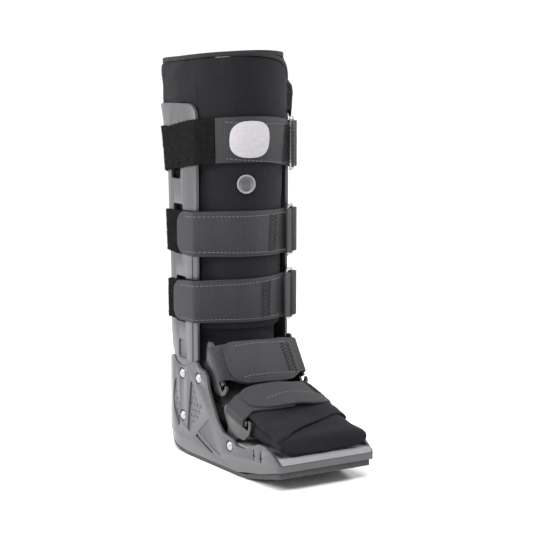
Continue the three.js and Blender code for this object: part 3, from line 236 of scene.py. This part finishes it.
def finishes(colours):
    """All materials by slot name."""
    made = {}

    for name in ("plastic", "buckle", "wedge"):
        plastic = Finish(
            f"moulded {name}", getattr(colours, name), 0.33, Specular_IOR_Level=0.55, Coat_Weight=0.12
        )
        plastic.tint(plastic.noise(18, 3), 0.16)
        plastic.rough(plastic.noise(60, 4), 0.08)
        plastic.bump(plastic.noise(2600), 0.14, 0.0002)
        made[name] = plastic

    pale = Finish("pale plastic", colours.pale_plastic, 0.45)
    pale.tint(pale.noise(40, 3), 0.1)
    pale.rough(pale.noise(90, 3), 0.06)
    pale.bump(pale.noise(2200), 0.12, 0.0002)
    made["pale_plastic"] = pale

    rubber = Finish("sole rubber", colours.rubber, 0.62)
    rubber.tint(rubber.noise(50, 4), 0.2)
    rubber.rough(rubber.noise(120, 3), 0.08)
    rubber.bump(rubber.noise(1500, 3), 0.25, 0.0003)
    made["rubber"] = rubber

    cloth = Finish(
        "liner cloth", colours.cloth, 0.95, Sheen_Weight=0.02, Sheen_Roughness=0.5, Specular_IOR_Level=0.25
    )
    x, y, z = cloth.axes()
    knit = cloth.wave(x + y, 0.0012) * cloth.wave(z + x * 0.4, 0.0012)
    fuzz = cloth.noise(1700, 3)
    cloth.tint(fuzz * 0.7 + cloth.noise(70, 2) * 0.3, 0.75)
    cloth.bump(knit * 0.5 + fuzz, 0.7, 0.0006)
    made["cloth"] = cloth

    trim = Finish("binding tape", colours.trim, 0.85, Sheen_Weight=0.02, Specular_IOR_Level=0.3)
    x, y, z = trim.axes()
    ribs = trim.wave(x + y + z * 1.2, 0.0011)
    trim.tint(ribs * 0.6 + trim.noise(900) * 0.4, 0.4)
    trim.bump(ribs, 0.5, 0.0003)
    made["trim"] = trim

    for slot, foot in (("webbing", False), ("foot_webbing", True)):
        webbing = Finish(
            slot.replace("_", " "),
            colours.webbing,
            0.7,
            Sheen_Weight=0.03,
            Sheen_Roughness=0.4,
            Specular_IOR_Level=0.35,
        )
        x, y, z = webbing.axes()
        if foot:
            along, across = x, y - z
        else:
            turn = webbing.math("ARCTAN2", x - AXIS[0], y - AXIS[1])
            along, across = turn * LEG_RADIUS, z
        ribs = webbing.wave(along, 0.0013)
        weft = webbing.wave(across, 0.0009)
        webbing.tint(ribs * 0.5 + weft * 0.15 + webbing.noise(500, 3) * 0.35, 0.62)
        webbing.bump(ribs * 0.8 + weft * 0.35, 0.9, 0.0006)
        made[slot] = webbing

    pile = Finish("loop pile", colours.pile, 0.95, Specular_IOR_Level=0.2)
    pile.tint(pile.cells(700) * 0.8 + pile.noise(400, 4) * 0.4, 0.9)
    pile.bump(pile.cells(800), 0.9, 0.0008)
    made["pile"] = pile

    patch = Finish("patch cloth", colours.badge_cloth, 0.9, Specular_IOR_Level=0.3)
    patch.tint(patch.noise(330, 4) * 0.7 + patch.cells(900) * 0.5, 0.25)
    patch.bump(patch.noise(1200, 3), 0.6, 0.0005)
    made["badge_cloth"] = patch

    steel = Finish("steel", colours.steel, 0.3, Metallic=1.0)
    steel.tint(steel.noise(160, 3), 0.12)
    steel.rough(steel.noise(700, 3), 0.09)
    made["steel"] = steel

    for name, colour in (("edge_stitch", colours.edge_stitch), ("box_stitch", colours.box_stitch)):
        thread = Finish(name.replace("_", " "), colour, 0.8)
        thread.tint(thread.noise(1500), 0.35)
        thread.bump(thread.noise(3000), 0.4, 0.0002)
        made[name] = thread
    return {name: finish.material for name, finish in made.items()}


# A solid's points this close become one, in metres, and faces this near to flat, in radians
MERGE = 2e-6
FLAT = 0.01


def merged_copy(node, name):
    """A CAD node's mesh with its loose triangles joined, as a new object that stands for the node."""
    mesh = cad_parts[node].data.copy()
    work = bmesh.new()
    work.from_mesh(mesh)
    bmesh.ops.remove_doubles(work, verts=work.verts, dist=MERGE)
    bmesh.ops.dissolve_limit(work, angle_limit=FLAT, verts=work.verts, edges=work.edges)
    bmesh.ops.recalc_face_normals(work, faces=work.faces)
    work.to_mesh(mesh)
    work.free()
    return new_piece(name, mesh)


def new_piece(name, mesh):
    piece = bpy.data.objects.new(name, mesh)
    bpy.context.scene.collection.objects.link(piece)
    return piece


def finish_piece(piece, material, nodes=()):
    """The piece with its material, on the root body, standing for the given CAD nodes."""
    piece.data.materials.clear()
    piece.data.materials.append(material)
    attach(piece, "root")
    if nodes:
        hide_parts(*nodes)


def soften(piece, degrees):
    """Smooth shading, sharp where two faces meet at more than the given angle."""
    mesh = piece.data
    mesh.polygons.foreach_set("use_smooth", np.ones(len(mesh.polygons), bool))
    mesh.set_sharp_from_angle(angle=math.radians(degrees))


def add_bevel(piece, width, degrees):
    """Rounds the edges where two faces meet at more than the given angle."""
    edge = piece.modifiers.new("edge", "BEVEL")
    edge.width = width
    edge.segments = 2
    edge.limit_method = "ANGLE"
    edge.angle_limit = math.radians(degrees)
    edge.use_clamp_overlap = True


def applied(piece):
    """Makes the piece's modifiers part of its mesh."""
    shown = piece.evaluated_get(bpy.context.evaluated_depsgraph_get())
    mesh = bpy.data.meshes.new_from_object(shown)
    piece.modifiers.clear()
    piece.data = mesh


def creased(points, depth):
    """Soft creases: three crossing sine waves of 23, 37 and 61 mm, bent by a slower one, times a depth."""
    x, y, z = points.T
    bend = 0.006 * np.sin(z * 47 + 1.3) + 0.005 * np.sin(y * 39)
    waves = np.sin((z + bend) * 103 + x * 60) + 0.7 * np.sin((y + bend) * 170 + z * 31 + 2)
    waves += 0.5 * np.sin((z - bend) * 273 + y * 90 + 0.6)
    return depth * waves / 2.2


# Padding and bindings are raised at the rim: where the rise starts, over what height, and how much
RIM_START = 0.403
RIM_SPREAD = 0.012
RIM_LIFT = 0.003


def cloth_form(node, voxel, smoothing, depth):
    """Padded piece: the node's solid remeshed, smoothed, and moved along its normals by soft creases."""
    piece = merged_copy(node, f"{node}_cloth")
    remesh = piece.modifiers.new("remesh", "REMESH")
    remesh.mode = "VOXEL"
    remesh.voxel_size = voxel
    smooth = piece.modifiers.new("smooth", "SMOOTH")
    smooth.factor = 0.5
    smooth.iterations = smoothing
    applied(piece)
    mesh = piece.data
    count = len(mesh.vertices)
    points = np.empty(count * 3)
    normals = np.empty(count * 3)
    mesh.vertices.foreach_get("co", points)
    mesh.vertices.foreach_get("normal", normals)
    points = points.reshape(-1, 3)
    points += normals.reshape(-1, 3) * creased(points, depth)[:, None]
    points[:, 2] += RIM_LIFT * np.clip((points[:, 2] - RIM_START) / RIM_SPREAD, 0, 1)
    mesh.vertices.foreach_set("co", points.ravel())
    mesh.update()
    soften(piece, 80)
    return piece


def stitches(name, rows, radius):
    """Stitches as low arches. Each is three rings of four points along its line, the middle one raised by the
    thread's radius, closed at both ends. rows holds start, end and outward normal."""
    data = np.array(rows, float).reshape(-1, 3, 3)
    start, end, out = data[:, 0], data[:, 1], data[:, 2]
    along = end - start
    along /= np.linalg.norm(along, axis=1, keepdims=True)
    side = np.cross(along, out)
    side /= np.linalg.norm(side, axis=1, keepdims=True)
    steps = np.array([0.0, 0.5, 1.0])
    lift = radius * np.array([-0.3, 0.9, -0.3])
    size = radius * np.array([0.6, 1.0, 0.6])
    turn = np.arange(4) * math.pi / 2 + math.pi / 4
    centre = start[:, None] + (end - start)[:, None] * steps[None, :, None]
    centre = centre + out[:, None] * lift[None, :, None]
    cosine, sine = (wave[None, None, :, None] for wave in (np.cos(turn), np.sin(turn)))
    ring = side[:, None, None] * cosine + out[:, None, None] * sine
    points = centre[:, :, None] + ring * size[None, :, None, None]
    count = len(data)
    faces = []
    for r in range(2):
        for k in range(4):
            faces.append((r * 4 + k, r * 4 + (k + 1) % 4, r * 4 + 4 + (k + 1) % 4, r * 4 + 4 + k))
    faces += [(3, 2, 1, 0), (8, 9, 10, 11)]
    index = (np.array(faces)[None] + (np.arange(count) * 12)[:, None, None]).reshape(-1, 4)
    mesh = bpy.data.meshes.new(name)
    mesh.from_pydata(points.reshape(-1, 3).tolist(), [], index.tolist())
    work = bmesh.new()
    work.from_mesh(mesh)
    bmesh.ops.recalc_face_normals(work, faces=work.faces)
    work.to_mesh(mesh)
    work.free()
    piece = new_piece(name, mesh)
    soften(piece, 60)
    return piece


def trees_of(*nodes):
    """Search trees of CAD nodes, by name."""
    trees = {}
    for node in nodes:
        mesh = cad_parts[node].data
        points = [v.co.copy() for v in mesh.vertices]
        trees[node] = BVHTree.FromPolygons(points, [tuple(p.vertices) for p in mesh.polygons])
    return trees


# How far outside the boot the rays that seat the stitches start, in metres
LEG_RAY = 0.15
FOOT_RAY = 0.09


def on_leg(tree, angle, height):
    """Point and normal of a leg strap's face: a ray inwards to the leg's axis at an angle from the front."""
    a = math.radians(angle)
    way = Vector((math.sin(a), math.cos(a), 0))
    start = Vector((AXIS[0], AXIS[1], height)) - way * LEG_RAY
    place, normal = tree.ray_cast(start, way)[:2]
    if place is not None and normal.dot(way) > 0:
        normal = -normal
    return place, normal


def on_foot(tree, strap, x, along):
    """Point and normal of a foot strap's face: a ray straight down onto it, x across and along its slot."""
    y0, z0 = strap["origin"]
    ay, az = strap["along"]
    outward = Vector((0, az, -ay))
    outward = outward if outward.z > 0 else -outward
    base = Vector((x + AXIS[0], y0 + along * ay, z0 + along * az))
    start = base + outward * FOOT_RAY
    place, normal = tree.ray_cast(start, -outward)[:2]
    if place is not None and normal.dot(outward) < 0:
        normal = -normal
    return place, normal


def seam(spot, path, length, gap=0.35):
    """Rows of stitches along a path of (u, v) points: each leg of it is cut into stitches, and a share of
    each stays free as a gap."""
    rows = []
    for (u0, v0), (u1, v1) in zip(path, path[1:]):
        first, last = spot(u0, v0)[0], spot(u1, v1)[0]
        if first is None or last is None:
            continue
        count = max(1, round((last - first).length / length))
        for i in range(count):
            a = (i + gap / 2) / count
            b = (i + 1 - gap / 2) / count
            start, normal = spot(u0 + (u1 - u0) * a, v0 + (v1 - v0) * a)
            end = spot(u0 + (u1 - u0) * b, v0 + (v1 - v0) * b)[0]
            if start is not None and end is not None and (end - start).length > 1e-5:
                rows.append((start, end, normal))
    return rows


def zigzag(u0, u1, v0, v1, count):
    """Corners of crossing zigzag lines between two edges of a band, with the lines that frame them."""
    steps = [v0 + (v1 - v0) * i / count for i in range(count + 1)]
    one = [(u0 if i % 2 else u1, v) for i, v in enumerate(steps)]
    other = [(u1 if i % 2 else u0, v) for i, v in enumerate(steps)]
    return [one, other, [(u0, v0), (u0, v1)], [(u1, v0), (u1, v1)]]


# Leg straps: angles of tip, ring and zigzag box, and bottom and top heights at tip and ring, in metres
LEG_SEAMS = {
    "web_1": {"tip": 42, "ring": -46, "box": (-31, -42), "low": (0.3155, 0.3075), "high": (0.3585, 0.3545)},
    "web_2": {"tip": 84, "ring": -46, "box": (-15, -25), "low": (0.2180, 0.2160), "high": (0.2600, 0.2620)},
    "web_3": {"tip": 94, "ring": -46, "box": (-8, -19), "low": (0.1470, 0.1468), "high": (0.1865, 0.1930)},
}


# Edge seams of the leg straps, in degrees: room left at the tip, and the step between two stations
TIP_MARGIN = 8
SEAM_STEP = 4
# Stitches of the zigzag boxes, against those of the edges: share of the length, and gap
BOX_STITCH = 0.8
BOX_GAP = 0.15
# Edge seams and zigzag box, as shares of a strap's height or half width, and how many zigzags
LEG_EDGES, LEG_BOX, LEG_ZIGZAGS = (0.07, 0.93), (0.06, 0.94), 9
FOOT_EDGES, FOOT_BOX, FOOT_ZIGZAGS = (0.1, 0.9), (0.62, 0.86, 0.12, 0.88), 8


def leg_seams(tree, facts, length):
    """Edge stitching down both sides of a leg strap and the zigzag box near its ring."""

    def spot(angle, share):
        t = (facts["tip"] - angle) / (facts["tip"] - facts["ring"])
        low = facts["low"][0] + (facts["low"][1] - facts["low"][0]) * t
        high = facts["high"][0] + (facts["high"][1] - facts["high"][0]) * t
        return on_leg(tree, angle, low + (high - low) * share)

    rows = []
    stations = range(facts["tip"] - TIP_MARGIN, facts["ring"], -SEAM_STEP)
    for share in LEG_EDGES:
        rows += seam(spot, [(a, share) for a in stations], length)
    box = []
    for path in zigzag(*facts["box"], *LEG_BOX, LEG_ZIGZAGS):
        box += seam(spot, path, length * BOX_STITCH, BOX_GAP)
    return rows, box


def foot_seams(tree, strap, length):
    """Edge stitching of a foot strap and the zigzag box at its far end."""
    half = strap["half"]

    def spot(x, share):
        return on_foot(tree, strap, x, strap["length"] * (share * 0.9 + 0.08))

    rows = []
    stations = [-half * 0.7 + i * half * 1.5 / 16 for i in range(17)]
    for share in FOOT_EDGES:
        rows += seam(spot, [(x, share) for x in stations], length)
    box = []
    x0, x1, low, high = FOOT_BOX
    for path in zigzag(half * x0, half * x1, low, high, FOOT_ZIGZAGS):
        box += seam(spot, path, length * BOX_STITCH, BOX_GAP)
    return rows, box


# Radius of a pile strand at its foot, how deep the foot sits, and the spread of its lean
STRAND_RADIUS = 0.00018
STRAND_ROOT = 0.0003
STRAND_LEAN = 0.55


def strands(node, count, length, seed):
    """Pile: three-sided spikes on a band's faces, spread by area, each leaning at random from the normal."""
    rng = np.random.default_rng(seed)
    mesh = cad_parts[node].data
    mesh.calc_loop_triangles()
    corners = np.empty(len(mesh.loop_triangles) * 3, np.int32)
    mesh.loop_triangles.foreach_get("vertices", corners)
    points = np.empty(len(mesh.vertices) * 3)
    mesh.vertices.foreach_get("co", points)
    a, b, c = points.reshape(-1, 3)[corners.reshape(-1, 3)].transpose(1, 0, 2)
    normal = np.cross(b - a, c - a)
    area = np.linalg.norm(normal, axis=1)
    normal /= area[:, None] + 1e-20
    pick = rng.choice(len(area), count, p=area / area.sum())
    u, v = rng.random((2, count))
    over = u + v > 1
    u[over], v[over] = 1 - u[over], 1 - v[over]
    base = a[pick] + (b - a)[pick] * u[:, None] + (c - a)[pick] * v[:, None]
    lean = rng.normal(0, STRAND_LEAN, (count, 3))
    way = normal[pick] + lean
    way /= np.linalg.norm(way, axis=1, keepdims=True)
    side = np.cross(way, rng.normal(0, 1, (count, 3)))
    side /= np.linalg.norm(side, axis=1, keepdims=True)
    other = np.cross(way, side)
    turn = np.arange(3) * 2 * math.pi / 3
    ring = side[:, None] * np.cos(turn)[None, :, None] + other[:, None] * np.sin(turn)[None, :, None]
    foot = base[:, None] - way[:, None] * STRAND_ROOT + ring * STRAND_RADIUS
    tip = (base + way * (length * (0.35 + 0.65 * rng.random(count)))[:, None])[:, None]
    spikes = np.concatenate([foot, tip], axis=1).reshape(-1, 3)
    faces = np.array([(0, 1, 3), (1, 2, 3), (2, 0, 3), (2, 1, 0)])
    index = (faces[None] + (np.arange(count) * 4)[:, None, None]).reshape(-1, 3)
    made = bpy.data.meshes.new(f"{node}_strands")
    made.from_pydata(spikes.tolist(), [], index.tolist())
    return new_piece(f"{node}_strands", made)


MATERIALS = {}


def material(name):
    if not MATERIALS:
        MATERIALS.update(finishes(bpy.context.scene.boot_colours))
    return MATERIALS[name]


# Widths of the rounded edges, and the voxels of the bindings, in metres
STEEL_BEVEL = 0.0003
PLASTIC_BEVEL = 0.00055
WEBBING_BEVEL = 0.0004
BINDING_VOXEL = 0.0009
# Angles between faces, in degrees, past which an edge is rounded and shaded sharp
HARD_EDGE, HARD_SHARP = 34, 36
BAND_EDGE, BAND_SHARP = 50, 62
# Radius of a box stitch against an edge stitch's, and the first seed of the pile
BOX_THREAD = 1.5
PILE_SEED = 11


class BOOT_OT_hard(bpy.types.Operator):
    """Dress the shell, uprights, sole, buckles, rivets, rings and valve"""

    bl_idname = "boot.hard"
    bl_label = "Hard parts"

    def execute(self, context):
        for slot, nodes in HARD.items():
            for node in nodes:
                piece = merged_copy(node, f"{node}_dressed")
                add_bevel(piece, STEEL_BEVEL if slot == "steel" else PLASTIC_BEVEL, HARD_EDGE)
                applied(piece)
                soften(piece, HARD_SHARP)
                look = {"sole": "wedge", "buckle": "buckle"}.get(node.split("_")[0], slot)
                finish_piece(piece, material(look), [node])
        return {"FINISHED"}


class BOOT_OT_liner(bpy.types.Operator):
    """Make the padded liner, its flaps and their bindings"""

    bl_idname = "boot.liner"
    bl_label = "Liner and flaps"

    def execute(self, context):
        sizes = context.scene.boot_sizes
        for node, voxel, smoothing, depth in (
            ("liner_body", sizes.voxel, 4, sizes.crease),
            ("shin_flap", sizes.flap_voxel, 7, sizes.crease * 0.3),
            ("forefoot_flap", sizes.flap_voxel, 12, sizes.crease * 1.3),
        ):
            piece = cloth_form(node, voxel, smoothing, depth)
            finish_piece(piece, material("cloth"), [node])
        for node in ("rim_binding", "flap_binding"):
            piece = cloth_form(node, BINDING_VOXEL, 4, 0)
            finish_piece(piece, material("trim"), [node])
        return {"FINISHED"}


class BOOT_OT_straps(bpy.types.Operator):
    """Make the webbing, pile bands and patch, and sew them"""

    bl_idname = "boot.straps"
    bl_label = "Straps"

    def execute(self, context):
        sizes = context.scene.boot_sizes
        pieces = {}
        for node, (slot, width, length, held, rests) in SHEETS.items():
            piece = merged_copy(node, f"{node}_band")
            add_bevel(piece, WEBBING_BEVEL, BAND_EDGE)
            applied(piece)
            soften(piece, BAND_SHARP)
            finish = "foot_webbing" if node.startswith("strap") else slot
            finish_piece(piece, material(finish), [node])
            pieces[node] = (piece, width, length, held, rests)
        extras = {node: [] for node in SHEETS}
        trees = trees_of(*LEG_SEAMS, *FOOT)
        seams = {node: leg_seams(trees[node], facts, sizes.stitch) for node, facts in LEG_SEAMS.items()}
        seams |= {node: foot_seams(trees[node], strap, sizes.stitch) for node, strap in FOOT.items()}
        for node, (edges, box) in seams.items():
            for part, rows, radius in (
                ("edge_stitch", edges, sizes.thread),
                ("box_stitch", box, sizes.thread * BOX_THREAD),
            ):
                sewn = stitches(f"{node}_{part}", rows, radius)
                finish_piece(sewn, material(part))
                extras[node].append(sewn)
        for i, node in enumerate(("pile_1", "pile_2", "pile_3")):
            fuzz = strands(node, sizes.loops, sizes.strand, PILE_SEED + i)
            finish_piece(fuzz, material("pile"))
            extras[node].append(fuzz)
        for node, (piece, width, length, held, rests) in pieces.items():
            area = width * length * (BADGE_FILL if node == "badge" else BAND_FILL)
        return {"FINISHED"}


class BOOT_OT_stage(bpy.types.Operator):
    """Set the floor, the soft lights and the camera"""

    bl_idname = "boot.stage"
    bl_label = "Stage"

    def execute(self, context):
        mesh = bpy.data.meshes.new("floor")
        mesh.from_pydata([(-40, -40, 0), (40, -40, 0), (40, 40, 0), (-40, 40, 0)], [], [(0, 1, 2, 3)])
        floor = new_piece("floor", mesh)
        paint = bpy.data.materials.new("floor")
        paint.use_nodes = True
        shader = paint.node_tree.nodes["Principled BSDF"]
        shader.inputs["Base Color"].default_value = (0.93, 0.93, 0.93, 1)
        shader.inputs["Roughness"].default_value = 0.9
        floor.data.materials.append(paint)
        world = bpy.data.worlds.new("studio")
        world.use_nodes = True
        nodes, links = world.node_tree.nodes, world.node_tree.links
        split = nodes.new("ShaderNodeSeparateXYZ")
        links.new(nodes.new("ShaderNodeTexCoord").outputs["Generated"], split.inputs[0])
        ramp = nodes.new("ShaderNodeMapRange")
        links.new(split.outputs[2], ramp.inputs["Value"])
        for name, value in (("From Min", 0.12), ("From Max", 0.5), ("To Min", 1.05), ("To Max", 0.35)):
            ramp.inputs[name].default_value = value
        links.new(ramp.outputs["Result"], nodes["Background"].inputs["Strength"])
        nodes["Background"].inputs["Color"].default_value = (1, 1, 1, 1)
        context.scene.world = world
        context.scene.view_settings.view_transform = "Standard"
        for name, place, size, power in (
            ("key", (-0.7, -1.2, 1.9), 0.8, 22),
            ("rear", (-1.4, 0.7, 0.8), 0.5, 24),
            ("right", (1.5, -0.2, 1.1), 0.6, 18),
        ):
            lamp = bpy.data.lights.new(name, "AREA")
            lamp.size = size
            lamp.energy = power
            light = bpy.data.objects.new(name, lamp)
            context.scene.collection.objects.link(light)
            light.location = place
            light.rotation_euler = (Vector(LIT) - Vector(place)).to_track_quat("-Z", "Y").to_euler()
        sun = bpy.data.lights.new("overhead", "SUN")
        sun.energy = 2.6
        sun.angle = math.radians(50)
        high = bpy.data.objects.new("overhead", sun)
        context.scene.collection.objects.link(high)
        high.rotation_euler = (math.radians(18), math.radians(-14), 0)
        az, pitch = math.radians(CAMERA_AZIMUTH), math.radians(CAMERA_PITCH)
        back = Vector((math.sin(az) * math.cos(pitch), -math.cos(az) * math.cos(pitch), math.sin(pitch)))
        data = bpy.data.cameras.new("camera")
        data.lens = LENS
        camera = bpy.data.objects.new("camera", data)
        context.scene.collection.objects.link(camera)
        camera.location = Vector(LOOK) + back * CAMERA_DISTANCE
        camera.rotation_euler = (-back).to_track_quat("-Z", "Y").to_euler()
        context.scene.camera = camera
        return {"FINISHED"}


class BOOT_PT_panel(bpy.types.Panel):
    """Buttons and sizes of the boot"""

    bl_label = "Walking boot"
    bl_idname = "BOOT_PT_panel"
    bl_space_type = "VIEW_3D"
    bl_region_type = "UI"
    bl_category = "Boot"

    def draw(self, context):
        for operator in STEPS:
            self.layout.operator(operator.bl_idname)
        for group in (context.scene.boot_sizes, context.scene.boot_colours):
            for name in group.__annotations__:
                self.layout.prop(group, name)


STEPS = (BOOT_OT_hard, BOOT_OT_liner, BOOT_OT_straps, BOOT_OT_stage)
CLASSES = (BootSizes, BootColours, *STEPS, BOOT_PT_panel)


def register():
    for cls in CLASSES:
        bpy.utils.register_class(cls)
    bpy.types.Scene.boot_sizes = bpy.props.PointerProperty(type=BootSizes)
    bpy.types.Scene.boot_colours = bpy.props.PointerProperty(type=BootColours)


def unregister():
    del bpy.types.Scene.boot_sizes
    del bpy.types.Scene.boot_colours
    for cls in reversed(CLASSES):
        bpy.utils.unregister_class(cls)


def main():
    register()
    bpy.ops.boot.hard()
    bpy.ops.boot.liner()
    bpy.ops.boot.straps()
    bpy.ops.boot.stage()


if __name__ == "__main__":
    main()
